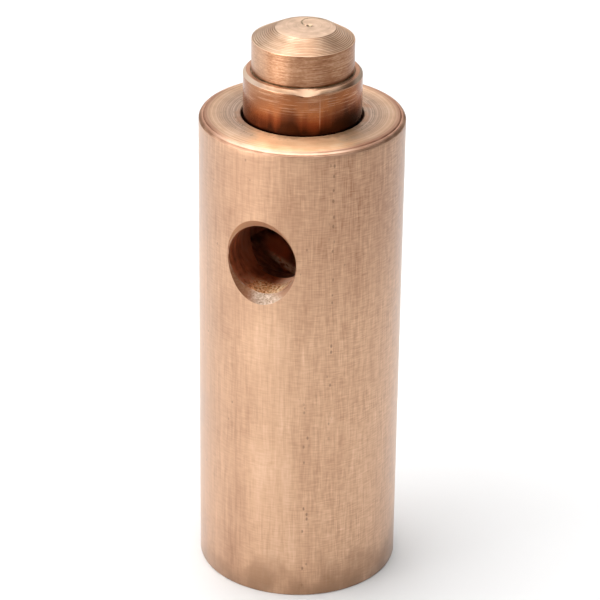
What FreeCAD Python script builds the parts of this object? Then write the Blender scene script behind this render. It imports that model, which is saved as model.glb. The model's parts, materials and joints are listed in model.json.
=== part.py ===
"""Copper electrode holder for a resistance welder: a solid bar with a tapered socket, and its electrode.

The holder is a plain round bar. Its socket is drilled, taper reamed and relieved at the mouth, and a
countersunk side port breaks into the bottom of the socket, just below the electrode's shank, so that a
bar put through it can lever the electrode out of its taper. The electrode is turned from one bar: a
tapered shank, a collar, a nose and a coned tip, with the small pip that facing leaves near its centre.

Frame: origin at the centre of the bottom face, +Z up the axis, the side port facing -Y. Millimetres.
"""
import FreeCAD, Part
import os

import Sketcher

# How a sketch numbers its own axes, its origin and the points of a curve.
H_AXIS, V_AXIS = -1, -2
ORIGIN = (-1, 1)
START, END, CENTRE = 1, 2, 3

LEAST_CHANGE = 0.01  # cubic millimetres that a feature has to add or cut

SIZES = [
    # the holder's bar
    ("body_radius", 20.0, "outside of the holder"),
    ("body_height", 97.0, "bottom face to top face"),
    ("band_inner", 18.6, "where the eased top edge starts"),
    ("band_middle", 19.35, "where the eased edge turns down"),
    ("band_outer", 19.8, "last corner of the eased edge"),
    ("band_drop_middle", 0.2, "drop of the eased edge at its middle corner"),
    ("band_drop_outer", 0.5, "drop of the eased edge at its outer corner"),
    ("band_drop", 0.95, "drop of the eased edge at the outside"),
    ("foot_chamfer", 0.3, "bottom edge chamfer"),
    # the socket
    ("mouth_radius", 11.9, "relief round the collar"),
    ("mouth_chamfer", 0.2, "edge break at the mouth"),
    ("mouth_depth", 2.5, "depth of the relief"),
    ("taper_length", 17.5, "reamed taper below the relief"),
    ("taper_per_side", 0.025, "1 in 20 on the diameter"),
    ("taper_clearance", 0.05, "radial gap between shank and socket"),
    ("socket_depth", 29.0, "top face to the end of the full diameter"),
    ("drill_tangent", 0.6009, "tangent of 31 degrees, for a 118 degree drill point"),
    # the side port
    ("port_height", 73.5, "bottom face to the port's axis"),
    ("port_radius", 7.0, "drilled side port"),
    ("port_end", 8.0, "axis of the bar to the end of the port's full diameter"),
    ("sink_start", 18.5, "axis of the bar to the small end of the countersink"),
    ("sink_slope", 1.19, "tangent of 50 degrees, for a 100 degree countersink"),
    ("sink_run", 3.0, "length of the countersink's cutter past its small end"),
    # the electrode
    ("shank_length", 16.0, "shank inside the holder, down to just above the side port"),
    ("shank_chamfer", 0.5, "chamfer at the shank's end"),
    ("collar_radius", 11.5, "collar, and the large end of the taper"),
    ("collar_top", 9.0, "top face to the ledge"),
    ("collar_chamfer", 0.6, "chamfer at the collar's top edge"),
    ("nose_radius", 9.9, "nose above the ledge"),
    ("nose_top", 15.3, "top face to the base of the cone"),
    ("tip_radius", 6.0, "flat welding face"),
    ("tip_top", 17.6, "top face to the welding face"),
    ("pip_radius", 0.35, "pip left by facing"),
    ("pip_height", 0.2, "pip above the welding face"),
    ("pip_x", 0.7, "pip from the axis, along +X"),
    ("pip_y", 1.05, "pip from the axis, along +Y"),
    ("pip_root", 0.5, "depth of the pip's own solid below the welding face"),
]


def make_sheet(doc):
    """Driving dimensions, one alias per row."""
    sheet = doc.addObject("Spreadsheet::Sheet", "Sizes")
    for row, (alias, value, note) in enumerate(SIZES, start=1):
        sheet.set(f"A{row}", note)
        sheet.set(f"B{row}", str(value))
        sheet.setAlias(f"B{row}", alias)
    doc.recompute()
    return sheet


def make_body(doc, label):
    """An empty body whose label names its file."""
    body = doc.addObject("PartDesign::Body", label)
    body.Label = label
    doc.recompute()
    return body


def origin_item(body, role):
    """One of the body's own origin planes or axes."""
    return next(item for item in body.Origin.OriginFeatures if item.Role == role)


def new_sketch(body, name, plane):
    sketch = body.newObject("Sketcher::SketchObject", name)
    sketch.AttachmentSupport = (origin_item(body, plane), [""])
    sketch.MapMode = "FlatFace"
    return sketch


def number(sketch, expression):
    """Present value of an expression over the sheet."""
    return float(sketch.evalExpression(expression))


def pin_point(sketch, geometry, point, across, up):
    """Place one point of a curve by two expressions, measured from the sketch's origin."""
    for kind, axis, expression in (("DistanceX", V_AXIS, across), ("DistanceY", H_AXIS, up)):
        value = number(sketch, expression)
        if abs(value) < 1e-9:
            sketch.addConstraint(Sketcher.Constraint("PointOnObject", geometry, point, axis))
            continue
        index = sketch.addConstraint(Sketcher.Constraint(kind, *ORIGIN, geometry, point, value))
        sketch.setExpression(f"Constraints[{index}]", expression)


def circle_at(sketch, across, up, radius):
    """A circle whose centre and radius are expressions over the sheet."""
    middle = FreeCAD.Vector(number(sketch, across), number(sketch, up), 0)
    size = number(sketch, radius)
    circle = sketch.addGeometry(Part.Circle(middle, FreeCAD.Vector(0, 0, 1), size))
    pin_point(sketch, circle, CENTRE, across, up)
    index = sketch.addConstraint(Sketcher.Constraint("Radius", circle, size))
    sketch.setExpression(f"Constraints[{index}]", radius)


def closed_outline(sketch, corners):
    """Straight-sided closed outline; each corner is a pair of expressions over the sheet."""
    points = [FreeCAD.Vector(number(sketch, across), number(sketch, up), 0) for across, up in corners]
    count = len(points)
    for index in range(count):
        sketch.addGeometry(Part.LineSegment(points[index], points[(index + 1) % count]))
    for index in range(count):
        sketch.addConstraint(Sketcher.Constraint("Coincident", index, END, (index + 1) % count, START))
    for index, (across, up) in enumerate(corners):
        pin_point(sketch, index, START, across, up)


def turned(body, kind, name, corners):
    """Revolve a half outline in the XZ plane round the bar's axis, to add or to cut."""
    sketch = new_sketch(body, name + "_outline", "XZ_Plane")
    closed_outline(sketch, corners)
    feature = body.newObject(kind, name)
    feature.Profile = sketch
    feature.ReferenceAxis = (sketch, ["V_Axis"])
    feature.Angle = 360.0
    body.Document.recompute()
    return feature


def drill_port(body):
    """Cut the side port, its countersink and its drill point, round a level axis that faces -Y."""
    sketch = new_sketch(body, "port_outline", "YZ_Plane")
    centre = "Sizes.port_height"
    drilled = f"{centre} + Sizes.port_radius"
    point = "-(Sizes.port_end - Sizes.port_radius * Sizes.drill_tangent)"
    cutter_end = "-(Sizes.sink_start + Sizes.sink_run)"
    closed_outline(sketch, [
        (point, centre),
        ("-Sizes.port_end", drilled),
        ("-Sizes.sink_start", drilled),
        (cutter_end, f"{drilled} + Sizes.sink_run * Sizes.sink_slope"),
        (cutter_end, centre),
    ])
    port = body.newObject("PartDesign::Groove", "port")
    port.Profile = sketch
    port.ReferenceAxis = (sketch, ["Edge5"])  # the outline's last line, which lies on the port's axis
    port.Angle = 360.0
    body.Document.recompute()
    return port


def make_holder(doc):
    body = make_body(doc, "holder_body")
    top = "Sizes.body_height"
    turned(body, "PartDesign::Revolution", "bar", [
        ("0", "0"),
        ("Sizes.body_radius - Sizes.foot_chamfer", "0"),
        ("Sizes.body_radius", "Sizes.foot_chamfer"),
        ("Sizes.body_radius", f"{top} - Sizes.band_drop"),
        ("Sizes.band_outer", f"{top} - Sizes.band_drop_outer"),
        ("Sizes.band_middle", f"{top} - Sizes.band_drop_middle"),
        ("Sizes.band_inner", top),
        ("0", top),
    ])
    solid_volume = body.Shape.Volume

    relief_end = f"{top} - Sizes.mouth_depth"
    taper_large = "Sizes.collar_radius + Sizes.taper_clearance"
    taper_end = f"{relief_end} - Sizes.taper_length"
    drilled = f"{taper_large} - Sizes.taper_length * Sizes.taper_per_side"
    socket_end = f"{top} - Sizes.socket_depth"
    turned(body, "PartDesign::Groove", "socket", [
        ("0", top),
        ("Sizes.mouth_radius + Sizes.mouth_chamfer", top),
        ("Sizes.mouth_radius", f"{top} - Sizes.mouth_chamfer"),
        ("Sizes.mouth_radius", relief_end),
        (taper_large, relief_end),
        (drilled, taper_end),
        (drilled, socket_end),
        ("0", f"{socket_end} - ({drilled}) * Sizes.drill_tangent"),
    ])
    socketed_volume = body.Shape.Volume
    drill_port(body)
    ported_volume = body.Shape.Volume
    if min(solid_volume - socketed_volume, socketed_volume - ported_volume) < LEAST_CHANGE:
        raise RuntimeError("the socket or the side port cut nothing")
    return body


def make_electrode(doc):
    body = make_body(doc, "electrode")
    top = "Sizes.body_height"
    ledge = f"{top} + Sizes.collar_top"
    taper_start = f"{top} - Sizes.mouth_depth"
    shank_end = f"{top} - Sizes.shank_length"
    taper_run = "Sizes.shank_length - Sizes.mouth_depth"
    small = f"Sizes.collar_radius - ({taper_run}) * Sizes.taper_per_side"
    face = f"{top} + Sizes.tip_top"
    turned(body, "PartDesign::Revolution", "turned_bar", [
        ("0", shank_end),
        (f"{small} - Sizes.shank_chamfer", shank_end),
        (small, f"{shank_end} + Sizes.shank_chamfer"),
        ("Sizes.collar_radius", taper_start),
        ("Sizes.collar_radius", f"{ledge} - Sizes.collar_chamfer"),
        ("Sizes.collar_radius - Sizes.collar_chamfer", ledge),
        ("Sizes.nose_radius", ledge),
        ("Sizes.nose_radius", f"{top} + Sizes.nose_top"),
        ("Sizes.tip_radius", face),
        ("0", face),
    ])
    faced_volume = body.Shape.Volume

    sketch = new_sketch(body, "pip_outline", "XY_Plane")
    circle_at(sketch, "Sizes.pip_x", "Sizes.pip_y", "Sizes.pip_radius")
    sketch.setExpression("AttachmentOffset.Base.z", f"{face} - Sizes.pip_root")
    pip = body.newObject("PartDesign::Pad", "pip")
    pip.Profile = sketch
    pip.setExpression("Length", "Sizes.pip_height + Sizes.pip_root")
    doc.recompute()
    if body.Shape.Volume - faced_volume < LEAST_CHANGE:
        raise RuntimeError("the pip added nothing")
    return body


def check(doc, bodies):
    """Stop on any failed object or empty or invalid shape."""
    for item in doc.Objects:
        if {"Invalid", "Error"} & set(item.State):
            raise RuntimeError(f"{item.Name} failed: {item.State}")
    for body in bodies:
        if body.Shape.isNull() or not body.Shape.isValid() or len(body.Shape.Solids) != 1:
            raise RuntimeError(f"{body.Label} is not one valid solid")


def main():
    doc = FreeCAD.newDocument("electrode_holder")
    make_sheet(doc)
    bodies = [make_holder(doc), make_electrode(doc)]
    doc.recompute()
    check(doc, bodies)
    os.makedirs("parts", exist_ok=True)
    for body in bodies:
        body.Shape.exportStep(f"parts/{body.Label}.step")
        box = body.Shape.BoundBox
        print(body.Label, "volume", round(body.Shape.Volume, 1), "z", round(box.ZMin, 2), round(box.ZMax, 2))


main()
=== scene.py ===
"""Looks for the copper electrode holder: turned and drawn copper, and a plain pale studio."""
import json
import math

import bpy
from mathutils import Matrix, Vector


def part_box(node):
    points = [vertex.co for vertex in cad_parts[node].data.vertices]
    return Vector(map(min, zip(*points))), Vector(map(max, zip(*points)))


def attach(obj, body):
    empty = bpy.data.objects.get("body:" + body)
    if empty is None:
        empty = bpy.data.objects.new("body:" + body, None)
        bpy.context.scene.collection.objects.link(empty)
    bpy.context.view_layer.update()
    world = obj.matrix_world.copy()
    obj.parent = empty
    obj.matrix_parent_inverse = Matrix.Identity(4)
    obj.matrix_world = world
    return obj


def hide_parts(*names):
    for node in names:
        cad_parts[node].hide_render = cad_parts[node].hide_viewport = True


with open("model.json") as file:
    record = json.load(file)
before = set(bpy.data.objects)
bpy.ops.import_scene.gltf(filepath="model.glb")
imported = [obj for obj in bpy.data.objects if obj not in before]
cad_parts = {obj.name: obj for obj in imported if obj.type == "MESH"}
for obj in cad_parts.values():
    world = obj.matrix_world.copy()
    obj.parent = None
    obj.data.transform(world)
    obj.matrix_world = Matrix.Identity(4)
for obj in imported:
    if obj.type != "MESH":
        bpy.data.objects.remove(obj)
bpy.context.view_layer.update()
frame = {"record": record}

MM = 0.001
TAU = 2 * math.pi

# Places on the object, from the frame.
bar_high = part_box("holder_body")[1]
electrode_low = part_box("electrode")[0]
mounts = {mount["name"]: mount for mount in frame["record"]["mounts"]}
R = bar_high.x
TOP = bar_high.z
PORT_Z = mounts["knockout_port"]["pos_m"][2]
PORT_R = mounts["knockout_port"]["dims"]["r_mm"] * MM
FACE_Z = mounts["welding_face"]["pos_m"][2]
SHANK_END = electrode_low.z

# Sizes of the turned details, as in the CAD part, apart from the tip, whose edge is worn round.
FOOT_CHAMFER = 0.3 * MM
EDGE_DROP = 0.95 * MM
MOUTH_R = 11.9 * MM
MOUTH_CHAMFER = 0.2 * MM
MOUTH_DEPTH = 2.5 * MM
DRILLED_R = 11.1125 * MM
SOCKET_DEPTH = 29.0 * MM
TAPER_LENGTH = 17.5 * MM
TAPER_LARGE_R = 11.55 * MM
TAPER_PER_SIDE = 1 / 40
DRILL_TANGENT = 0.6009
PORT_END = 8.0 * MM
SINK_START = 18.5 * MM
SINK_SLOPE = 1.19
SINK_RUN = 3.0 * MM
SHANK_CHAMFER = 0.5 * MM
COLLAR_R = 11.5 * MM
LEDGE_Z = TOP + 9.0 * MM
NOSE_R = 9.9 * MM
NOSE_TOP = TOP + 15.3 * MM
TIP_R = 5.85 * MM
ROUNDING = 0.14 * MM

# Turned edges, from the outside in: how far in and how far down each ring is, in millimetres.
HOLDER_EDGE = (
    (0, 0.95), (0.03, 0.82), (0.07, 0.74), (0.14, 0.66), (0.18, 0.64), (0.22, 0.58), (0.20, 0.52),
    (0.28, 0.44), (0.40, 0.36), (0.50, 0.30), (0.62, 0.25), (0.74, 0.24), (0.86, 0.26), (0.94, 0.17),
    (1.05, 0.10), (1.2, 0.06), (1.4, 0.03),
)
COLLAR_EDGE = (
    (0, 0.72), (0.015, 0.64), (0.05, 0.57), (0.3, 0.3), (0.5, 0.09), (0.58, 0.03), (0.68, 0.01),
    (0.80, 0.03), (0.95, 0.02), (1.2, 0.0), (1.42, 0.03), (1.52, 0.12), (1.66, 0.12),
)

# How finely the meshes are divided round their axes.
SEGMENTS = 288
CUTTER_SEGMENTS = 224

# The camera, in bar radii from the axis: to the right of the side port, looking down.
VIEW_AZIMUTH = math.radians(23.3)
CAMERA_OUT = 24.83 * R
CAMERA_UP = 15.22 * R
CAMERA_PITCH = math.radians(26.52)
CAMERA_ROLL = math.radians(0.73)
CAMERA_LENS = 167.3

# Level directions as the camera sees them.
TO_RIGHT = Vector((math.cos(VIEW_AZIMUTH), math.sin(VIEW_AZIMUTH), 0))
AWAY = Vector((-math.sin(VIEW_AZIMUTH), math.cos(VIEW_AZIMUTH), 0))

# The collar's chamfer, the nick filed in it towards the camera, and the grooved cone, turned off its axis.
CHAMFER = 0.6 * MM
NICK_ANGLE = VIEW_AZIMUTH - math.pi / 2 + math.radians(4.4)
NICK_HALF_WIDTH = 3.0 * MM
NICK_DROP = 1.15 * MM
NICK_SLOPE = 0.84
NICK_CENTRE = Vector((math.cos(NICK_ANGLE), math.sin(NICK_ANGLE), 0)) * COLLAR_R
NICK_CENTRE.z = LEDGE_Z - NICK_DROP / 2
CONE_DRIFT = TO_RIGHT * 0.4 * MM
CONE_GROOVES = 12

# Marks on the tip, round the pip where the facing ended.
PIP = TO_RIGHT * 1.05 * MM + AWAY * 0.7 * MM
PIP_PEAK = PIP - TO_RIGHT * 0.55 * MM
PIP_HEIGHT = 0.19 * MM
PIP_SIZE = 0.24 * MM
PIT = PIP + TO_RIGHT * 0.15 * MM
PIT_DEPTH = 0.35 * MM
PIT_SIZE = 0.5 * MM
FACING_FEED = 0.45 * MM
FACING_DEPTH = 0.012 * MM
CURL_DEPTH = 0.1 * MM
CURL_WIDTH = 0.25 * MM
CURL_START = 0.7 * MM
CURL_GROWTH = 3.7 * MM
CURL_SWEEP = 0.32  # share of a turn

# Direction of the painted highlight streak on the socket's floor, and the level direction across it.
HIGHLIGHT_TURN = math.radians(17)
HIGHLIGHT_ALONG = AWAY * math.sin(HIGHLIGHT_TURN) - TO_RIGHT * math.cos(HIGHLIGHT_TURN)
HIGHLIGHT_ACROSS = AWAY * math.cos(HIGHLIGHT_TURN) + TO_RIGHT * math.sin(HIGHLIGHT_TURN)


# ---------------------------------------------------------------- meshes

def shade_smooth(mesh):
    """Smooth, apart from real edges."""
    mesh.shade_smooth()
    mesh.set_sharp_from_angle(angle=math.radians(30))


def as_object(name, points, faces):
    mesh = bpy.data.meshes.new(name)
    mesh.from_pydata(points, [], faces)
    mesh.validate()
    shade_smooth(mesh)
    obj = bpy.data.objects.new(name, mesh)
    bpy.context.scene.collection.objects.link(obj)
    return obj


def lathe(name, rings, segments):
    """Closed solid of revolution round Z. Each ring is a function of the angle that gives a point,
    or a single point on the axis."""
    points, starts = [], []
    for ring in rings:
        starts.append(len(points))
        if isinstance(ring, Vector):
            points.append(ring)
        else:
            points.extend(ring(TAU * step / segments) for step in range(segments))
    faces = []
    for low, high, first, second in zip(rings, rings[1:], starts, starts[1:]):
        for step in range(segments):
            after = (step + 1) % segments
            if isinstance(low, Vector):
                faces.append((first, second + after, second + step))
            elif isinstance(high, Vector):
                faces.append((first + step, first + after, second))
            else:
                faces.append((first + step, first + after, second + after, second + step))
    return as_object(name, points, faces)


def circle(radius, z, x=0.0, y=0.0):
    """A level ring for lathe, round the given centre."""
    return lambda angle: Vector((x + radius * math.cos(angle), y + radius * math.sin(angle), z))


def along(start, end, count, groove_depth=0.0, pitch=0.0, inward=(0.0, -1.0)):
    """Profile points (radius, height) from start to just short of end, with turned grooves cut inward."""
    length = math.dist(start, end)
    points = []
    for step in range(count):
        share = step / count
        radius = start[0] + (end[0] - start[0]) * share
        z = start[1] + (end[1] - start[1]) * share
        cut = groove_depth * abs(math.sin(math.pi * share * length / pitch)) if groove_depth else 0.0
        points.append((radius + inward[0] * cut, z + inward[1] * cut))
    return points


def rings_of(profile):
    """A ring, or a point on the axis, for each point (radius, height) of a half outline."""
    return [Vector((0, 0, z)) if radius == 0 else circle(radius, z) for radius, z in profile]


def bar_profile():
    """Half outline of the holder: up the outside, over the eased edge and the face, down the socket."""
    below_port, above_port = PORT_Z - 12 * MM, PORT_Z + 12 * MM
    profile = [(0, 0)]
    profile += along((2 * MM, 0), (R - FOOT_CHAMFER, 0), 12)
    profile += [(R - FOOT_CHAMFER, 0), (R - 0.3 * FOOT_CHAMFER, 0.3 * FOOT_CHAMFER)]
    profile += along((R, FOOT_CHAMFER), (R, below_port), 20)
    profile += along((R, below_port), (R, above_port), 28)
    profile += along((R, above_port), (R, TOP - EDGE_DROP), 8)
    profile += [(R - inset * MM, TOP - drop * MM) for inset, drop in HOLDER_EDGE]
    mark_depth, mark_pitch = 0.014 * MM, 0.42 * MM
    profile += along((18.4 * MM, TOP), (12.15 * MM, TOP), 90, mark_depth, mark_pitch)
    profile += [(12.12 * MM, TOP), (12.0 * MM, TOP - 0.06 * MM), (MOUTH_R, TOP - MOUTH_CHAMFER)]
    relief_end = TOP - MOUTH_DEPTH
    profile += along((MOUTH_R, TOP - 0.5 * MM), (MOUTH_R, relief_end), 4)
    profile += [(MOUTH_R, relief_end), (TAPER_LARGE_R, relief_end)]
    taper_end = relief_end - TAPER_LENGTH
    socket_end = TOP - SOCKET_DEPTH
    profile += along((TAPER_LARGE_R, relief_end - 0.3 * MM), (DRILLED_R, taper_end), 14)
    profile += along((DRILLED_R, taper_end), (DRILLED_R, socket_end), 12)
    apex = socket_end - DRILLED_R * DRILL_TANGENT
    ring_depth, ring_pitch = 0.03 * MM, 0.75 * MM
    profile += along((DRILLED_R, socket_end), (0.3 * MM, apex), 72, ring_depth, ring_pitch, (0.0, 1.0))
    profile.append((0, apex))
    return profile


def port_cutter():
    """The drill and countersink that cut the side port, turned to face -Y."""
    point = PORT_END - 4.0 * MM
    half = [(0, -point)]
    half += along((0.5 * MM, -point), (PORT_R, -PORT_END), 10)
    half += along((PORT_R, -PORT_END), (PORT_R, -(SINK_START - 0.1 * MM)), 14)
    half += [(PORT_R + 0.03 * MM, -SINK_START + 0.02 * MM)]
    for run in (0.25, 0.5, 0.75, 1.0, 1.25, 1.5, 2.0, 3.0):
        half.append((PORT_R + run * MM * SINK_SLOPE, -(SINK_START + run * MM)))
    half.append((0, -(SINK_START + SINK_RUN)))
    cutter = lathe("port_cutter", rings_of([(radius, -depth) for radius, depth in half]), CUTTER_SEGMENTS)
    cutter.matrix_world = Matrix.Translation((0, 0, PORT_Z)) @ Matrix.Rotation(math.radians(90), 4, "X")
    return cutter


def holder_mesh():
    """The bar with its socket, and the side port cut into it."""
    bar = lathe("holder_visual", rings_of(bar_profile()), SEGMENTS)
    cutter = port_cutter()
    bpy.context.view_layer.update()
    cut = bar.modifiers.new("port", "BOOLEAN")
    cut.object = cutter
    cut.operation = "DIFFERENCE"
    cut.solver = "EXACT"
    graph = bpy.context.evaluated_depsgraph_get()
    mesh = bpy.data.meshes.new_from_object(bar.evaluated_get(graph))
    bar.modifiers.clear()
    bar.data = mesh
    bpy.data.objects.remove(cutter)
    shade_smooth(mesh)
    return bar


def nick(angle):
    """Share of the nick filed in the collar's edge, which faces the camera."""
    across = math.sin(angle - NICK_ANGLE) * COLLAR_R
    if math.cos(angle - NICK_ANGLE) < 0 or abs(across) > NICK_HALF_WIDTH:
        return 0.0
    return 0.5 + 0.5 * math.cos(math.pi * across / NICK_HALF_WIDTH)


def bump_at(point, centre, size):
    """Height of a round bump, from 0 to 1."""
    return math.exp(-((point - centre).length / size) ** 2)


def from_pip(point):
    """Distance from the pip, and the share of a turn anticlockwise from the camera's right."""
    offset = point - PIP
    return offset.length, math.atan2(offset.dot(AWAY), offset.dot(TO_RIGHT)) / TAU % 1


def curl(point):
    """Share of the curled groove left as the tool was drawn back, round the pip's left to its far side."""
    out, turn = from_pip(point)
    swing = (0.5 - turn) / CURL_SWEEP
    if not 0 <= swing <= 1.2:
        return 0.0
    path = CURL_START + CURL_GROWTH * math.sin(min(swing, 1) * math.pi / 2) ** 2
    return math.exp(-((out - path) / CURL_WIDTH) ** 2) * min(1, 5 * (1.2 - swing))


def electrode_mesh():
    """Shank, collar, nose, cone and faced tip of the electrode."""
    small_r = COLLAR_R - (TOP - MOUTH_DEPTH - SHANK_END) * TAPER_PER_SIDE
    profile = [(0, SHANK_END)]
    profile += along((2 * MM, SHANK_END), (small_r - SHANK_CHAMFER, SHANK_END), 6)
    profile += [(small_r - SHANK_CHAMFER, SHANK_END)]
    profile += along((small_r, SHANK_END + SHANK_CHAMFER), (COLLAR_R, TOP - MOUTH_DEPTH), 12)
    profile += along((COLLAR_R, TOP - MOUTH_DEPTH), (COLLAR_R, LEDGE_Z - 2.2 * MM), 12)
    rings = rings_of(profile)

    # The nick is a sloping facet across the collar's top edge and its ledge.
    def nicked(inset, drop):
        depth = max(0.0, NICK_DROP - drop - NICK_SLOPE * inset)

        def ring(angle):
            z = LEDGE_Z - drop - depth * nick(angle)
            return Vector(((COLLAR_R - inset) * math.cos(angle), (COLLAR_R - inset) * math.sin(angle), z))
        return ring

    rings += [circle(COLLAR_R, LEDGE_Z - 1.9 * MM), circle(COLLAR_R, LEDGE_Z - 1.6 * MM)]
    rings += [nicked(inset * MM, drop * MM) for inset, drop in COLLAR_EDGE]
    rings += rings_of([(NOSE_R - 0.06 * MM, LEDGE_Z + 0.08 * MM), (NOSE_R, LEDGE_Z + 0.25 * MM)])
    nose_foot, mark_depth, mark_pitch = (NOSE_R, LEDGE_Z + 0.4 * MM), 0.012 * MM, 0.3 * MM
    rings += rings_of(along(nose_foot, (NOSE_R, NOSE_TOP), 48, mark_depth, mark_pitch, (-1.0, 0.0)))

    # The cone was turned slightly off the nose's axis.
    start, end = (NOSE_R - 0.03 * MM, NOSE_TOP), (TIP_R, FACE_Z - ROUNDING)
    pitch, groove_depth = math.dist(start, end) / CONE_GROOVES, 0.06 * MM
    for radius, z in along(start, end, 8 * CONE_GROOVES, groove_depth, pitch, (-0.5, -0.86)):
        share = (z - NOSE_TOP) / (FACE_Z - NOSE_TOP)
        rings.append(circle(radius, z, CONE_DRIFT.x * share, CONE_DRIFT.y * share))

    # The outer fifth of the tip is worn round, and the facing marks wind in to the pip.
    def faced(share):
        def ring(angle):
            rim = CONE_DRIFT + Vector((math.cos(angle), math.sin(angle), 0)) * TIP_R
            point = PIP + (rim - PIP) * share
            out, swing = from_pip(point)
            depth = FACING_DEPTH * abs(math.sin(math.pi * (out / FACING_FEED - swing)))
            depth += CURL_DEPTH * curl(point)
            depth += ROUNDING * max(0.0, share / 0.22 - 3.55) ** 2
            depth += PIT_DEPTH * bump_at(point, PIT, PIT_SIZE)
            rise = PIP_HEIGHT * bump_at(point, PIP_PEAK, PIP_SIZE)
            return Vector((point.x, point.y, FACE_Z - depth + rise))
        return ring

    count = 84
    for step in range(count):
        rings.append(faced(1 - step / count))
    rings.append(Vector((PIP.x, PIP.y, FACE_Z - 0.15 * MM)))
    return lathe("electrode_visual", rings, SEGMENTS)


# ---------------------------------------------------------------- materials

class Metal:
    """A node material on one metallic shader, with short names for the nodes used here."""

    def __init__(self, name, roughness, grain=0.0, across=False, film=0.0):
        """grain is the anisotropy, round the bar's axis, or across that with across; film is a clear coat."""
        self.material = bpy.data.materials.new(name)
        self.material.use_nodes = True
        self.tree = self.material.node_tree
        self.shader = self.tree.nodes["Principled BSDF"]
        self.shader.inputs["Metallic"].default_value = 1.0
        self.shader.inputs["Roughness"].default_value = roughness
        self.shader.inputs["Coat Weight"].default_value = film
        self.shader.inputs["Coat Roughness"].default_value = 0.35
        if grain:
            self.shader.inputs["Anisotropic"].default_value = grain
            self.shader.inputs["Anisotropic Rotation"].default_value = 0.25 if across else 0.0
            tangent = self.node("ShaderNodeTangent", {"direction_type": "RADIAL", "axis": "Z"})
            self.put(self.shader.inputs["Tangent"], tangent.outputs[0])
        self.place = self.node("ShaderNodeTexCoord").outputs["Object"]

    def node(self, kind, settings=None, **inputs):
        node = self.tree.nodes.new(kind)
        for key, value in (settings or {}).items():
            setattr(node, key, value)
        for key, value in inputs.items():
            self.put(node.inputs[key], value)
        return node

    def put(self, socket, value):
        """Link a socket to another's value, or set it to a number or colour."""
        if isinstance(value, bpy.types.NodeSocket):
            self.tree.links.new(value, socket)
        elif isinstance(value, tuple) and socket.type == "RGBA":
            socket.default_value = (*value, 1)
        else:
            socket.default_value = value

    def math(self, operation, first, second=0.0):
        node = self.tree.nodes.new("ShaderNodeMath")
        node.operation = operation
        self.put(node.inputs[0], first)
        self.put(node.inputs[1], second)
        return node.outputs[0]

    def times(self, *values):
        product = values[0]
        for value in values[1:]:
            product = self.math("MULTIPLY", product, value)
        return product

    def plus(self, *values):
        total = values[0]
        for value in values[1:]:
            total = self.math("ADD", total, value)
        return total

    def about(self, value, weight):
        """weight times how far a noise is from its middle."""
        return self.times(self.math("SUBTRACT", value, 0.5), weight)

    def ease(self, value, start, end):
        """0 at start rising smoothly to 1 at end; the two may be in either order."""
        node = self.node("ShaderNodeMapRange", {"interpolation_type": "SMOOTHSTEP"}, Value=value)
        self.put(node.inputs["From Min"], start)
        self.put(node.inputs["From Max"], end)
        return node.outputs[0]

    def scaled(self, x, y, z):
        """The object's own coordinates, in metres, each multiplied."""
        return self.node("ShaderNodeMapping", Vector=self.place, Scale=(x, y, z)).outputs[0]

    def split(self):
        return self.node("ShaderNodeSeparateXYZ", Vector=self.place).outputs

    def join(self, x, y, z):
        return self.node("ShaderNodeCombineXYZ", X=x, Y=y, Z=z).outputs[0]

    def distance(self, centre, squash=(1, 1, 1)):
        """Distance from a point, in metres, after squashing the axes."""
        node = self.node("ShaderNodeMapping", {"vector_type": "TEXTURE"}, Vector=self.place)
        self.put(node.inputs["Location"], centre)
        stretch = self.node("ShaderNodeVectorMath", {"operation": "MULTIPLY"})
        self.put(stretch.inputs[0], node.outputs[0])
        self.put(stretch.inputs[1], squash)
        length = self.node("ShaderNodeVectorMath", {"operation": "LENGTH"})
        self.put(length.inputs[0], stretch.outputs[0])
        return length.outputs["Value"]

    def distance_from(self, value, middle):
        return self.math("ABSOLUTE", self.math("SUBTRACT", value, middle))

    def radius(self):
        return self.distance((0, 0, 0), (1, 1, 0))

    def toward(self, direction):
        """How far along a level direction, in metres."""
        node = self.node("ShaderNodeVectorMath", {"operation": "DOT_PRODUCT"})
        self.put(node.inputs[0], self.place)
        self.put(node.inputs[1], direction)
        return node.outputs["Value"]

    def beside_front(self, patches):
        """1 on the two sides of the bar's top, 0 at its front, a little to the left."""
        sideways = self.distance_from(self.toward(TO_RIGHT), -3 * MM)
        return self.ease(self.plus(sideways, self.about(patches, 5 * MM)), 10 * MM, 14.5 * MM)

    def noise(self, vector, scale=1.0, detail=3.0, rough=0.5):
        inputs = {"Vector": vector, "Scale": scale, "Detail": detail, "Roughness": rough}
        return self.node("ShaderNodeTexNoise", **inputs).outputs[0]

    def bands(self, value, scale, detail):
        """Noise that changes with one value only, such as rings round an axis."""
        return self.noise(self.join(self.times(value, scale), 0.0, 0.0), 1.0, detail)

    def specks(self, vector, scale, size, share):
        """Round spots in some of a cell pattern's cells."""
        cells = self.node("ShaderNodeTexVoronoi", Vector=vector, Scale=scale)
        chosen = self.node("ShaderNodeSeparateColor", Color=cells.outputs["Color"]).outputs[0]
        spot = self.ease(cells.outputs["Distance"], size, size * 0.5)
        return self.times(spot, self.math("LESS_THAN", chosen, share))

    def ramp(self, value, *stops):
        """Colour that passes through the stops, each a place from 0 to 1 and its colour."""
        node = self.node("ShaderNodeValToRGB", Fac=value)
        elements = node.color_ramp.elements
        while len(elements) < len(stops):
            elements.new(0.5)
        for element, (place, shade) in zip(elements, stops):
            element.position = place
            element.color = (*shade, 1)
        return node.outputs[0]

    def mix(self, share, first, second):
        """Colour that goes from first to second with share. A mix node's colours are its later sockets."""
        node = self.node("ShaderNodeMix", {"data_type": "RGBA"})
        self.put(node.inputs[0], share)
        self.put(node.inputs[6], first)
        self.put(node.inputs[7], second)
        return node.outputs[2]

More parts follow.
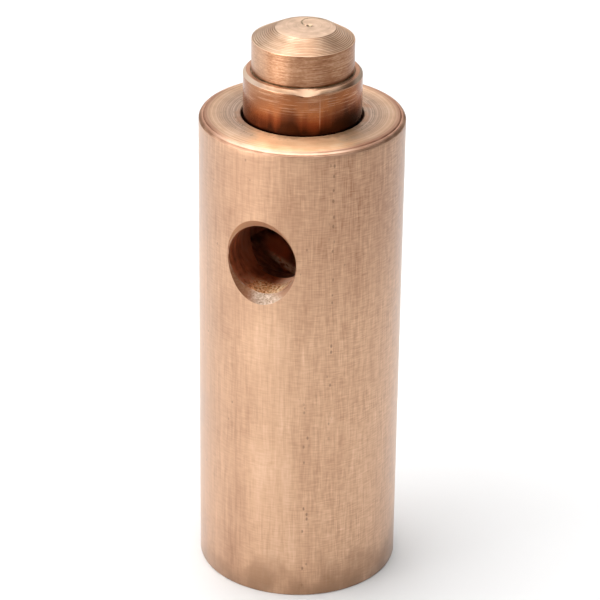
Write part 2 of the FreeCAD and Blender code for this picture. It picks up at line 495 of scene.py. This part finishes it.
    def finish(self, color, roughness=None, height=None, strength=0.3, depth=0.05 * MM):
        self.put(self.shader.inputs["Base Color"], color)
        if roughness is not None:
            self.put(self.shader.inputs["Roughness"], roughness)
        if height is not None:
            bump = self.node("ShaderNodeBump", Height=height, Strength=strength, Distance=depth)
            self.put(self.shader.inputs["Normal"], bump.outputs[0])
        return self.material


BROWN = (0.24, 0.125, 0.065)
OLIVE = (0.20, 0.155, 0.085)


def drawn_copper():
    """Outside of the bar: drawn, rubbed with canvas, with painted shade towards the top, on the right and low
    at the far left, stained at the foot.
    """
    m = Metal("drawn_copper", 0.42, grain=0.35, film=0.9)
    up, right = m.split()["Z"], m.toward(TO_RIGHT)
    mottle = m.noise(m.scaled(1, 1, 0.6), 95, 4)
    streaks = m.noise(m.scaled(1, 1, 0.05), 1300, 3)
    warp = m.noise(m.scaled(1, 1, 0.1), 3800, 0)
    weft = m.noise(m.scaled(0.15, 0.15, 1), 3800, 0)
    rubbed = m.times(m.plus(0.75, m.times(m.ease(m.noise(m.place, 110, 2), 0.38, 0.62), 0.25)),
                     m.plus(0.55, m.times(m.ease(right, -6 * MM, 8 * MM), 0.45)))
    canvas = m.times(m.plus(m.about(warp, 0.6), m.about(weft, 0.6)), rubbed)
    # Painted shade: darker towards the top, on the right, and low down at the far left.
    darker = m.times(m.ease(up, 52 * MM, 84 * MM), 0.3)
    shaded = m.plus(m.times(m.ease(right, -4 * MM, 3 * MM), 0.12),
                    m.times(m.ease(right, -7 * MM, -13 * MM), m.ease(up, 76 * MM, 56 * MM), 0.22))
    tone = m.plus(m.about(mottle, 0.7), m.about(streaks, 0.65), canvas,
                  m.times(m.plus(darker, shaded), -1.0))
    shade = m.ramp(m.plus(0.5, m.times(tone, 0.6)),
                   (0.0, (0.30, 0.13, 0.06)), (0.5, (0.65, 0.395, 0.24)), (1.0, (0.96, 0.69, 0.49)))
    shade = m.mix(m.times(m.specks(m.scaled(1, 1, 0.7), 1000, 0.26, 0.02), 0.6), shade, BROWN)

    # Rows of small pits down the bar, along two of the drawing lines.
    front = m.ease(m.toward(AWAY), 0, -2 * MM)
    pits = m.specks(m.scaled(1, 1, 0.6), 1150, 0.34, 0.45)
    upper_row = m.times(m.ease(m.distance_from(right, 5.9 * MM), 0.8 * MM, 0.3 * MM),
                        m.ease(up, 30 * MM, 44 * MM))
    lower_row = m.times(m.ease(m.distance_from(right, 1.5 * MM), 1.0 * MM, 0.3 * MM),
                        m.ease(up, 48 * MM, 40 * MM))
    pits = m.times(pits, m.plus(upper_row, lower_row), front)
    shade = m.mix(m.times(pits, 0.8), shade, BROWN)

    # Brown stains creep up from the foot.
    low = m.ease(up, 18 * MM, 0)
    blotch = m.noise(m.scaled(1, 1, 0.7), 170, 4)
    stain = m.ease(m.plus(m.times(low, 0.6), m.about(blotch, 1.9)), 0.1, 0.95)
    shade = m.mix(m.times(stain, m.plus(0.2, low), 0.75), shade, (0.34, 0.18, 0.09))
    rough = m.plus(0.42, m.about(mottle, 0.35), m.about(streaks, 0.2), m.times(stain, 0.06))
    height = m.plus(m.times(streaks, 0.4), canvas, m.times(pits, -1.5))
    return m.finish(shade, rough, height, 0.15, 0.015 * MM)


def faced_copper():
    """Top face of the holder: ringed by facing, greyer at its sides with patina and a painted dull
    reflection, with painted shade towards the socket and near the rim at the sides, stained beside the
    socket.
    """
    m = Metal("faced_copper", 0.5, grain=0.75, across=True)
    rings = m.bands(m.radius(), 2600.0, 2)
    patches = m.noise(m.place, 300, 4)
    fresh = m.ramp(m.plus(0.5, m.about(rings, 1.4), m.about(patches, 1.2)),
                   (0.0, (0.74, 0.39, 0.20)), (0.5, (0.92, 0.57, 0.33)), (1.0, (0.97, 0.73, 0.50)))
    # Painted shade: the fresh copper gets darker inward, towards the socket.
    fresh = m.mix(m.times(m.ease(m.radius(), 17.8 * MM, 15.8 * MM), 0.35), fresh, (0.60, 0.34, 0.19))
    sideways = m.math("ABSOLUTE", m.toward(TO_RIGHT))
    near_bore = m.ease(m.radius(), 18 * MM, 13 * MM)
    # Greyer at the sides, most near the socket: partly patina, partly a painted dull reflection.
    patina_and_painted_dull_reflection = m.times(m.ease(m.plus(sideways, m.about(patches, 7 * MM)), 7 * MM, 12 * MM),
                   m.plus(0.6, m.times(near_bore, 0.4)))
    dull = m.ramp(m.plus(0.5, m.about(rings, 3.2), m.about(patches, 1.3)),
                  (0.0, (0.27, 0.185, 0.13)), (0.5, (0.45, 0.30, 0.215)), (1.0, (0.62, 0.45, 0.35)))
    shade = m.mix(patina_and_painted_dull_reflection, fresh, dull)
    # Painted shade: browner near the rim at the two sides, as on the eased edge.
    rim = m.times(m.ease(m.radius(), 17.7 * MM, 18.5 * MM), m.beside_front(patches))
    shade = m.mix(m.times(rim, 0.75), shade, (0.42, 0.21, 0.13))

    # Brown and olive stains, and a few pits, beside the socket.
    beside = m.ease(m.radius(), 15.5 * MM, 12.2 * MM)
    stain = m.ease(m.plus(m.times(beside, 0.6), m.about(patches, 2.0)), 0.4, 0.8)
    shade = m.mix(m.times(stain, 0.6), shade, (0.42, 0.20, 0.10))
    at_sides = m.plus(0.3, m.times(m.ease(sideways, 6 * MM, 11 * MM), 0.7))
    pits = m.times(m.specks(m.place, 1400, 0.34, 0.3), near_bore, at_sides)
    shade = m.mix(m.times(pits, 0.85), shade, OLIVE)
    rough = m.plus(0.5, m.about(patches, 0.25))
    return m.finish(shade, rough, m.plus(rings, m.times(pits, -1.0)), 0.35, 0.03 * MM)


def edge_copper():
    """Eased top edge of the holder: pale at the front, with painted red brown shade at the sides and painted
    shade in its small groove.
    """
    m = Metal("edge_copper", 0.55, grain=0.4, across=True)
    lines = m.noise(m.join(m.times(m.radius(), 3000.0), m.times(m.split()["Z"], 3000.0), 0.0), 1.0, 2)
    patches = m.noise(m.place, 350, 4)
    shade = m.ramp(m.plus(0.5, m.about(lines, 2.0), m.about(patches, 1.2)),
                   (0.0, (0.50, 0.27, 0.17)), (0.5, (0.76, 0.49, 0.34)), (1.0, (0.94, 0.72, 0.56)))
    brown = m.ramp(m.plus(0.5, m.about(lines, 2.4), m.about(patches, 1.0)),
                   (0.0, (0.24, 0.09, 0.05)), (0.5, (0.38, 0.18, 0.11)), (1.0, (0.62, 0.37, 0.26)))
    # Painted shade in the small groove, stronger to the right.
    painted_groove_shade = m.times(m.ease(m.distance_from(m.radius(), 19.1 * MM), 0.25 * MM, 0.05 * MM),
                     m.ease(m.toward(TO_RIGHT), -5 * MM, 8 * MM))
    shade = m.mix(m.times(painted_groove_shade, 0.7), shade, (0.40, 0.17, 0.10))
    # Browner at the two sides: partly painted shade, for the dim room that the edge reflects there.
    brown_and_painted_shade = m.times(m.beside_front(patches), m.ease(m.radius(), 19.8 * MM, 19.6 * MM), 0.85)
    shade = m.mix(brown_and_painted_shade, shade, brown)
    return m.finish(shade, m.plus(0.55, m.about(patches, 0.3)), lines, 0.25, 0.02 * MM)


def drilled_copper():
    """Side port: streaked red brown by the drill, with painted shade far inside, torn along the bottom of its
    mouth with painted glints, and a painted pool of light on the scrape in its floor, to the right.
    """
    m = Metal("drilled_copper", 0.5)
    rings = m.bands(m.split()["Y"], 2600.0, 3)
    streaks = m.noise(m.scaled(1, 1, 0.15), 700, 3)
    chatter = m.noise(m.place, 1100, 4, 0.6)
    across, depth = m.split()["X"], m.split()["Y"]
    floor = m.ease(m.split()["Z"], PORT_Z - 4.6 * MM, PORT_Z - 6.4 * MM)
    torn = m.times(floor, m.ease(across, -5 * MM, -1 * MM), m.ease(depth, -12.5 * MM, -15.0 * MM))
    shade = m.ramp(m.plus(0.5, m.about(streaks, 2.0), m.about(rings, 0.6), m.about(chatter, 0.5)),
                   (0.0, (0.50, 0.17, 0.08)), (0.5, (0.92, 0.42, 0.22)), (1.0, (1.0, 0.64, 0.42)))
    # Torn metal along the bottom of the mouth, its pale flecks painted glints.
    flecks = m.noise(m.place, 2000, 3, 0.6)
    torn_with_painted_glints = m.ramp(flecks, (0.36, (0.45, 0.17, 0.06)), (0.5, (0.96, 0.58, 0.28)), (0.64, (1.0, 0.88, 0.62)))
    # Painted shade far inside the port and towards its left.
    painted_shade_far_inside = m.times(m.ease(depth, -16 * MM, -12 * MM), m.ease(across, 1 * MM, -4 * MM))
    shade = m.mix(m.times(painted_shade_far_inside, 0.6), shade, (0.36, 0.12, 0.06))
    # A scrape on the floor to the right, also painted as a pool of light: pale and less metallic.
    scraped_with_painted_light = m.times(floor, m.ease(across, 0, 2.5 * MM))
    shade = m.mix(m.times(scraped_with_painted_light, 0.8), shade, (1.0, 0.74, 0.54))
    shade = m.mix(torn, shade, torn_with_painted_glints)
    rough = m.plus(0.5, m.about(chatter, 0.5), m.times(m.math("MAXIMUM", torn, scraped_with_painted_light), 0.3))
    m.put(m.shader.inputs["Metallic"], m.plus(1.0, m.times(scraped_with_painted_light, -0.8)))
    height = m.times(m.plus(rings, m.times(flecks, 1.5)), m.plus(0.5, torn))
    return m.finish(shade, rough, height, 0.7, 0.08 * MM)


def sunk_copper():
    """Countersink of the side port: chattered, pale and pitted at the bottom, worn at its inner edge, with a
    painted highlight there.
    """
    m = Metal("sunk_copper", 0.5)
    chatter = m.noise(m.place, 2200, 4, 0.6)
    shade = m.ramp(m.plus(0.5, m.about(chatter, 1.4)),
                   (0.0, (0.26, 0.10, 0.05)), (0.5, (0.38, 0.17, 0.09)), (1.0, (0.54, 0.28, 0.17)))
    shade = m.mix(m.ease(m.split()["X"], 0, 4 * MM), shade, (0.43, 0.245, 0.155))
    shade = m.mix(m.ease(m.split()["Z"], PORT_Z - 1 * MM, PORT_Z + 6 * MM), shade, (0.61, 0.345, 0.20))
    below = m.times(m.ease(m.split()["Z"], PORT_Z - 6 * MM, PORT_Z - 7.4 * MM),
                    m.ease(m.toward(TO_RIGHT), -10.5 * MM, -7.5 * MM))
    pale = m.ramp(m.plus(0.5, m.about(chatter, 2.2)),
                  (0.1, (0.40, 0.27, 0.19)), (0.5, (0.60, 0.44, 0.33)), (0.8, (0.76, 0.61, 0.49)))
    shade = m.mix(below, shade, pale)
    # Painted highlight on the worn inner edge.
    off_port = m.distance((0, 0, PORT_Z), (1, 0, 1))
    worn = m.times(m.ease(off_port, PORT_R + 0.25 * MM, PORT_R + 0.1 * MM),
                   m.ease(m.noise(m.place, 500, 2), 0.4, 0.6))
    shade = m.mix(m.times(worn, 0.35), shade, (0.90, 0.68, 0.52))
    specks = m.times(m.specks(m.place, 2600, 0.42, 0.5), below)
    shade = m.mix(m.times(specks, 0.8), shade, BROWN)
    return m.finish(shade, m.plus(0.5, m.about(chatter, 0.3)), chatter, 0.4, 0.04 * MM)


def bored_copper():
    """Inside of the socket: brown, streaked and ringed by the drill, with a painted red reflection in one
    place and a painted grey highlight streak.
    """
    m = Metal("bored_copper", 0.4)
    streaks = m.noise(m.scaled(1, 1, 0.12), 650, 3)
    rings = m.noise(m.join(m.times(m.radius(), 2400.0), m.times(m.split()["Z"], 1500.0), 0.0), 1.0, 3)
    shade = m.ramp(m.plus(0.5, m.about(streaks, 1.8), m.about(rings, 0.6)),
                   (0.0, (0.22, 0.11, 0.075)), (0.5, (0.38, 0.21, 0.14)), (1.0, (0.62, 0.40, 0.28)))
    # Painted reflection: a red patch on the socket's floor, less metallic.
    red = m.ease(m.distance(tuple(AWAY * 5.3 * MM - TO_RIGHT * 4.6 * MM), (1, 1, 0)), 3.6 * MM, 1.6 * MM)
    shade = m.mix(m.times(red, 0.8), shade, (0.98, 0.42, 0.24))
    # Painted highlight: a grey streak across the floor, rougher and less metallic.
    painted_highlight_streak = m.times(m.ease(m.distance_from(m.toward(HIGHLIGHT_ACROSS), 1.1 * MM), 1.5 * MM, 0.4 * MM),
                      m.ease(m.toward(HIGHLIGHT_ALONG), 8 * MM, 4.5 * MM),
                      m.ease(m.noise(m.place, 900, 3), 0.3, 0.5))
    shade = m.mix(m.times(painted_highlight_streak, 0.9), shade, (0.92, 0.88, 0.82))
    rough = m.plus(0.38, m.about(rings, 0.3), m.times(painted_highlight_streak, 0.35))
    m.put(m.shader.inputs["Metallic"], m.plus(1.0, m.times(red, -0.2), m.times(painted_highlight_streak, -0.8)))
    return m.finish(shade, rough, rings, 0.35, 0.05 * MM)


def turned_lines(m, pitch):
    """Fine lines round the axis that fade in and out, and slow patches."""
    lines = m.noise(m.scaled(0.05, 0.05, 1), 1 / pitch, 3, 0.6)
    return lines, m.noise(m.place, 260, 4)


def collar_copper():
    """Collar: red brown from heat, with painted shade deepest where it enters the socket and to the right,
    two painted reflection columns, and painted light at the far left. Shank: burnished.
    """
    m = Metal("collar_copper", 0.24, grain=0.3, across=True)
    lines, patches = turned_lines(m, 0.28 * MM)
    columns = m.noise(m.scaled(1, 1, 0.08), 330, 3)
    right = m.toward(TO_RIGHT)
    height = m.math("DIVIDE", m.math("SUBTRACT", m.split()["Z"], TOP), LEDGE_Z - TOP)
    # Painted shade and light: deepest towards the socket and to the right, two darker columns as painted
    # reflections, and lighter at the far left.
    painted_reflection_columns = m.plus(m.ease(m.distance_from(right, -2.5 * MM), 2.6 * MM, 0.6 * MM),
                  m.ease(m.distance_from(right, 7.2 * MM), 4 * MM, 1 * MM))
    level = m.plus(height, m.about(columns, 0.8), m.about(lines, 0.12), m.times(right, -10.0),
                   m.times(painted_reflection_columns, -0.2), m.times(m.ease(right, -8 * MM, -11 * MM), 0.2))
    shade = m.ramp(level, (0.02, (0.05, 0.019, 0.01)), (0.26, (0.21, 0.06, 0.023)),
                   (0.48, (0.37, 0.125, 0.045)), (0.75, (0.31, 0.12, 0.055)), (1.0, (0.38, 0.175, 0.09)))
    shade = m.mix(m.times(painted_reflection_columns, 0.3), shade, (0.15, 0.055, 0.025))
    crests = m.times(m.ease(lines, 0.5, 0.64), m.ease(height, 0.3, 0.65), 0.35)
    shade = m.mix(crests, shade, (0.74, 0.45, 0.28))
    scratch = m.times(m.ease(m.distance_from(right, 3.3 * MM), 0.2 * MM, 0),
                      m.ease(m.toward(AWAY), 0, -2 * MM), m.ease(height, 0.9, 0.6), m.ease(height, 0.05, 0.3))
    shade = m.mix(m.times(scratch, 0.25), shade, (0.8, 0.5, 0.32))
    dust = m.times(m.specks(m.place, 1500, 0.3, 0.16), m.ease(height, 0.16, 0.04),
                   m.ease(height, -0.05, 0.02), m.ease(right, 2 * MM, -3 * MM))
    shade = m.mix(m.times(dust, 0.6), shade, (0.85, 0.72, 0.56))
    m.put(m.shader.inputs["Metallic"], m.plus(1.0, m.times(dust, -0.5)))
    seated = m.ease(m.split()["Z"], TOP - 1.5 * MM, TOP - 3.5 * MM)
    rubbed = m.ramp(m.plus(0.5, m.about(lines, 1.4), m.about(patches, 1.4)),
                    (0.0, (0.26, 0.11, 0.06)), (0.5, (0.50, 0.26, 0.15)), (1.0, (0.76, 0.49, 0.33)))
    shade = m.mix(seated, shade, rubbed)
    rough = m.plus(0.24, m.about(patches, 0.2), m.about(columns, 0.15), m.times(seated, 0.1))
    return m.finish(shade, rough, m.plus(lines, m.times(columns, 0.3)), 0.22, 0.03 * MM)


def chamfer_copper():
    """Worn chamfer and ledge of the collar: brightest on the filed nick, with painted brown shade on the
    ledge and painted pale light on the chamfer at the sides.
    """
    m = Metal("chamfer_copper", 0.5)
    grain = m.noise(m.place, 500, 3)
    shade = m.ramp(grain, (0.25, (0.52, 0.29, 0.17)), (0.5, (0.64, 0.395, 0.25)), (0.8, (0.78, 0.53, 0.37)))
    right = m.toward(TO_RIGHT)
    # Painted shade: the ledge browner at the two sides.
    beside = m.ease(m.math("ABSOLUTE", right), 6 * MM, 10 * MM)
    shade = m.mix(m.times(beside, 0.65), shade, (0.34, 0.15, 0.09))
    # Painted light: the chamfer pale and less metallic at the two sides.
    edge = m.times(m.ease(m.radius(), 10.85 * MM, 11.0 * MM),
                   m.plus(m.ease(right, -6 * MM, -10 * MM), m.ease(right, 9 * MM, 10.5 * MM)))
    shade = m.mix(edge, shade, (0.60, 0.45, 0.34))
    m.put(m.shader.inputs["Metallic"], m.plus(1.0, m.times(edge, -0.7)))
    filed = m.times(m.ease(m.distance(tuple(NICK_CENTRE)), NICK_HALF_WIDTH, NICK_HALF_WIDTH * 0.6),
                    m.ease(grain, 0.3, 0.45))
    shade = m.mix(filed, shade, (0.84, 0.57, 0.39))
    return m.finish(shade, m.plus(0.5, m.about(grain, 0.3), m.times(filed, 0.1)), grain, 0.3, 0.03 * MM)


def corner_copper():
    """Dull olive line in the nose's corner, and in the curl on the tip."""
    m = Metal("corner_copper", 0.5)
    grain = m.noise(m.place, 900, 4)
    shade = m.ramp(grain, (0.3, (0.15, 0.11, 0.065)), (0.5, (0.34, 0.25, 0.155)), (0.75, (0.54, 0.41, 0.28)))
    return m.finish(shade, None, grain, 0.3, 0.03 * MM)


def nose_copper():
    """Nose: finely turned and chattered, with painted shade to the right and towards the ledge, and a painted
    highlight at the far left.
    """
    m = Metal("nose_copper", 0.33, grain=0.5, across=True)
    lines, patches = turned_lines(m, 0.2 * MM)
    right = m.toward(TO_RIGHT)
    chatter = m.noise(m.scaled(0.6, 0.6, 1.4), 2400, 3, 0.6)
    shade = m.ramp(m.plus(0.5, m.times(m.about(lines, 1.3), m.plus(1.0, m.ease(right, -3 * MM, 4 * MM))),
                          m.about(patches, 1.0), m.about(chatter, 1.1)),
                   (0.0, (0.27, 0.115, 0.06)), (0.5, (0.455, 0.23, 0.125)), (1.0, (0.66, 0.40, 0.25)))
    nicks = m.specks(m.scaled(0.45, 0.45, 1), 1800, 0.32, 0.14)
    shade = m.mix(m.times(nicks, m.ease(right, -2 * MM, 2 * MM), 0.6), shade, BROWN)
    # Painted shade: browner to the right.
    shade = m.mix(m.times(m.ease(right, -2 * MM, 3 * MM), 0.3), shade, (0.28, 0.13, 0.07))
    # Painted highlight at the far left.
    shade = m.mix(m.times(m.ease(right, -6 * MM, -8 * MM), 0.3), shade, (0.80, 0.56, 0.40))
    # Painted shade: browner towards the ledge.
    low = m.ease(m.plus(m.split()["Z"], m.about(patches, 3 * MM)), LEDGE_Z + 2.4 * MM, LEDGE_Z)
    shade = m.mix(m.times(low, 0.45), shade, (0.28, 0.12, 0.06))
    return m.finish(shade, m.plus(0.33, m.about(patches, 0.25)), lines, 0.3, 0.03 * MM)


def cone_copper():
    """Cone of the tip: coarse turned grooves with brighter crests, painted shadow in the grooves stronger to
    the right, and browner at the right and upper left, partly painted shade.
    """
    m = Metal("cone_copper", 0.34, grain=0.3, across=True)
    lines, patches = turned_lines(m, 0.2 * MM)
    turns = m.math("DIVIDE", m.math("SUBTRACT", m.split()["Z"], NOSE_TOP), FACE_Z - ROUNDING - NOSE_TOP)
    valleys = m.ease(m.math("ABSOLUTE", m.math("SINE", m.times(turns, CONE_GROOVES * math.pi))), 0.6, 1)
    shade = m.ramp(m.plus(0.5, m.about(lines, 1.3), m.about(patches, 1.0)),
                   (0.0, (0.44, 0.26, 0.155)), (0.5, (0.63, 0.42, 0.28)), (1.0, (0.82, 0.62, 0.46)))
    right = m.toward(TO_RIGHT)
    # Browner at the right and upper left: partly oxide, partly painted shade.
    upper_left = m.times(m.ease(right, -4 * MM, -7 * MM), m.ease(turns, 0.35, 0.8))
    brown_and_painted_shade = m.plus(m.times(m.ease(right, 3 * MM, 7 * MM), 0.5), m.times(upper_left, 0.6))
    shade = m.mix(m.times(brown_and_painted_shade, m.plus(0.7, m.about(patches, 1.5))), shade, (0.50, 0.25, 0.13))
    # Painted shadow in the grooves, stronger to the right.
    shadow = m.plus(0.2, m.times(m.ease(right, -6 * MM, 4 * MM), 0.7))
    shade = m.mix(m.times(valleys, shadow), shade, (0.30, 0.14, 0.07))
    return m.finish(shade, m.plus(0.34, m.about(patches, 0.2)), lines, 0.15, 0.02 * MM)


def tip_copper():
    """Faced flat of the tip: pale, with faint grey marks."""
    m = Metal("tip_copper", 0.4, grain=0.3, across=True)
    patches = m.noise(m.place, 500, 4)
    rings = m.bands(m.distance(tuple(PIP), (1, 1, 0)), 2600.0, 2)
    shade = m.ramp(m.plus(0.5, m.about(rings, 0.7), m.about(patches, 1.3)),
                   (0.0, (0.38, 0.25, 0.16)), (0.5, (0.57, 0.385, 0.265)), (1.0, (0.76, 0.56, 0.41)))
    return m.finish(shade, m.plus(0.4, m.about(patches, 0.2)), rings, 0.2, 0.02 * MM)


def dress(piece, metals, kind_of):
    """Give a piece its metals, and each of its faces the one at the place that kind_of returns."""
    piece.data.materials.clear()
    for metal in metals:
        piece.data.materials.append(metal)
    for polygon in piece.data.polygons:
        polygon.material_index = kind_of(polygon.center, polygon.normal)


def dress_holder(bar):
    """The holder's six metals, told apart by place: radius, height and distance from the port's axis."""
    metals = [drawn_copper(), faced_copper(), edge_copper(), drilled_copper(), sunk_copper(), bored_copper()]
    outside, face, edge, port, sink, bore = range(len(metals))
    face_r, sliver = 18.7 * MM, 0.02 * MM

    def kind_of(centre, normal):
        out = math.hypot(centre.x, centre.y)
        off_port = math.hypot(centre.x, centre.z - PORT_Z)
        in_port = centre.y < 0 and off_port < PORT_R + 4 * MM
        in_port = in_port and normal.x * centre.x + normal.y * centre.y < 0.9 * out
        if centre.z > TOP - 0.15 * MM and MOUTH_R + sliver < out < face_r:
            return face
        if centre.z > TOP - EDGE_DROP + sliver and out > face_r:
            return edge
        if in_port and out > MOUTH_R + 0.4 * MM and off_port > PORT_R + sliver:
            return sink
        if in_port and out > DRILLED_R + sliver and abs(off_port - PORT_R) < 0.14 * MM:
            return port
        if out < MOUTH_R + 0.3 * MM and centre.z > TOP - 40 * MM:
            return bore
        return outside

    dress(bar, metals, kind_of)


def dress_electrode(electrode):
    """The electrode's six metals, told apart by place, from the tip down."""
    metals = [collar_copper(), chamfer_copper(), corner_copper(), nose_copper(), cone_copper(), tip_copper()]
    collar, chamfer, corner, nose, cone, tip = range(len(metals))

    def kind_of(centre, _normal):
        flat = Vector((centre.x, centre.y, 0))
        drop = LEDGE_Z - centre.z
        if centre.z > NOSE_TOP and (flat - CONE_DRIFT).length < TIP_R - 0.01 * MM:
            marked = curl(flat) > 0.4 or bump_at(flat, PIT, PIT_SIZE) > 0.3
            return corner if marked else tip
        if centre.z > NOSE_TOP:
            return cone
        if drop < -0.12 * MM:
            return nose
        if drop < 0.2 * MM and flat.length < NOSE_R + 0.16 * MM:
            return corner
        share = nick(math.atan2(centre.y, centre.x))
        if drop < CHAMFER + 0.1 * MM + (NICK_DROP - CHAMFER) * share:
            return chamfer
        return collar

    dress(electrode, metals, kind_of)


# ---------------------------------------------------------------- studio

def add_camera():
    """The camera stands to the right of the side port and looks down at the bar."""
    data = bpy.data.cameras.new("camera")
    data.lens = CAMERA_LENS
    data.sensor_width = 36
    data.clip_end = 20
    camera = bpy.data.objects.new("camera", data)
    bpy.context.scene.collection.objects.link(camera)
    place = -AWAY * CAMERA_OUT + Vector((0, 0, CAMERA_UP))
    forward = AWAY * math.cos(CAMERA_PITCH) - Vector((0, 0, math.sin(CAMERA_PITCH)))
    level_up = TO_RIGHT.cross(forward)
    right = TO_RIGHT * math.cos(CAMERA_ROLL) + level_up * math.sin(CAMERA_ROLL)
    up = right.cross(forward)
    turn = Matrix((right, up, -forward)).transposed().to_4x4()
    camera.matrix_world = Matrix.Translation(place) @ turn
    bpy.context.scene.camera = camera


def add_floor():
    """A plain pale floor, in metres."""
    half = 3.0
    corners = [(-half, -half, 0), (half, -half, 0), (half, half, 0), (-half, half, 0)]
    floor = as_object("floor", corners, [(0, 1, 2, 3)])
    paper = bpy.data.materials.new("pale_floor")
    paper.use_nodes = True
    shader = paper.node_tree.nodes["Principled BSDF"]
    shader.inputs["Base Color"].default_value = (0.93, 0.93, 0.93, 1)
    shader.inputs["Roughness"].default_value = 0.8
    floor.data.materials.append(paper)


def softbox(name, azimuth, elevation, distance, width, height, radiance):
    """A soft light aimed at the bar. Azimuth 0 is behind the camera, 90 to its right, 180 behind the bar."""
    turn, lift = math.radians(azimuth), math.radians(elevation)
    level = TO_RIGHT * math.sin(turn) - AWAY * math.cos(turn)
    middle = Vector((0, 0, TOP / 2))
    data = bpy.data.lights.new(name, "AREA")
    data.shape = "RECTANGLE"
    data.size = width
    data.size_y = height
    data.energy = radiance * math.pi * width * height
    light = bpy.data.objects.new(name, data)
    bpy.context.scene.collection.objects.link(light)
    light.location = middle + (level * math.cos(lift) + Vector((0, 0, math.sin(lift)))) * distance
    light.rotation_euler = (middle - light.location).to_track_quat("-Z", "Y").to_euler()


def add_room():
    """An evenly dim room."""
    world = bpy.data.worlds.new("room")
    world.use_nodes = True
    world.node_tree.nodes["Background"].inputs["Strength"].default_value = 0.35
    bpy.context.scene.world = world


def add_lights():
    bpy.context.scene.view_settings.view_transform = "Standard"
    add_room()
    softbox("left_softbox", -75, 15, 0.9, 0.6, 0.6, 2.8)
    softbox("low_left_softbox", -50, 8, 0.9, 0.5, 0.4, 5.6)
    softbox("high_left_softbox", -120, 58, 1.0, 0.7, 0.7, 1.8)
    softbox("front_softbox", 15, 12, 0.9, 0.35, 0.3, 1.6)
    softbox("top_softbox", 0, 90, 1.0, 1.0, 1.0, 3.3)
    softbox("back_softbox", 180, 35, 1.2, 0.9, 0.6, 2.0)


holder = holder_mesh()
dress_holder(holder)
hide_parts("holder_body")
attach(holder, "holder")

electrode = electrode_mesh()
dress_electrode(electrode)
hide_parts("electrode")
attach(electrode, "electrode")

add_camera()
add_floor()
add_lights()
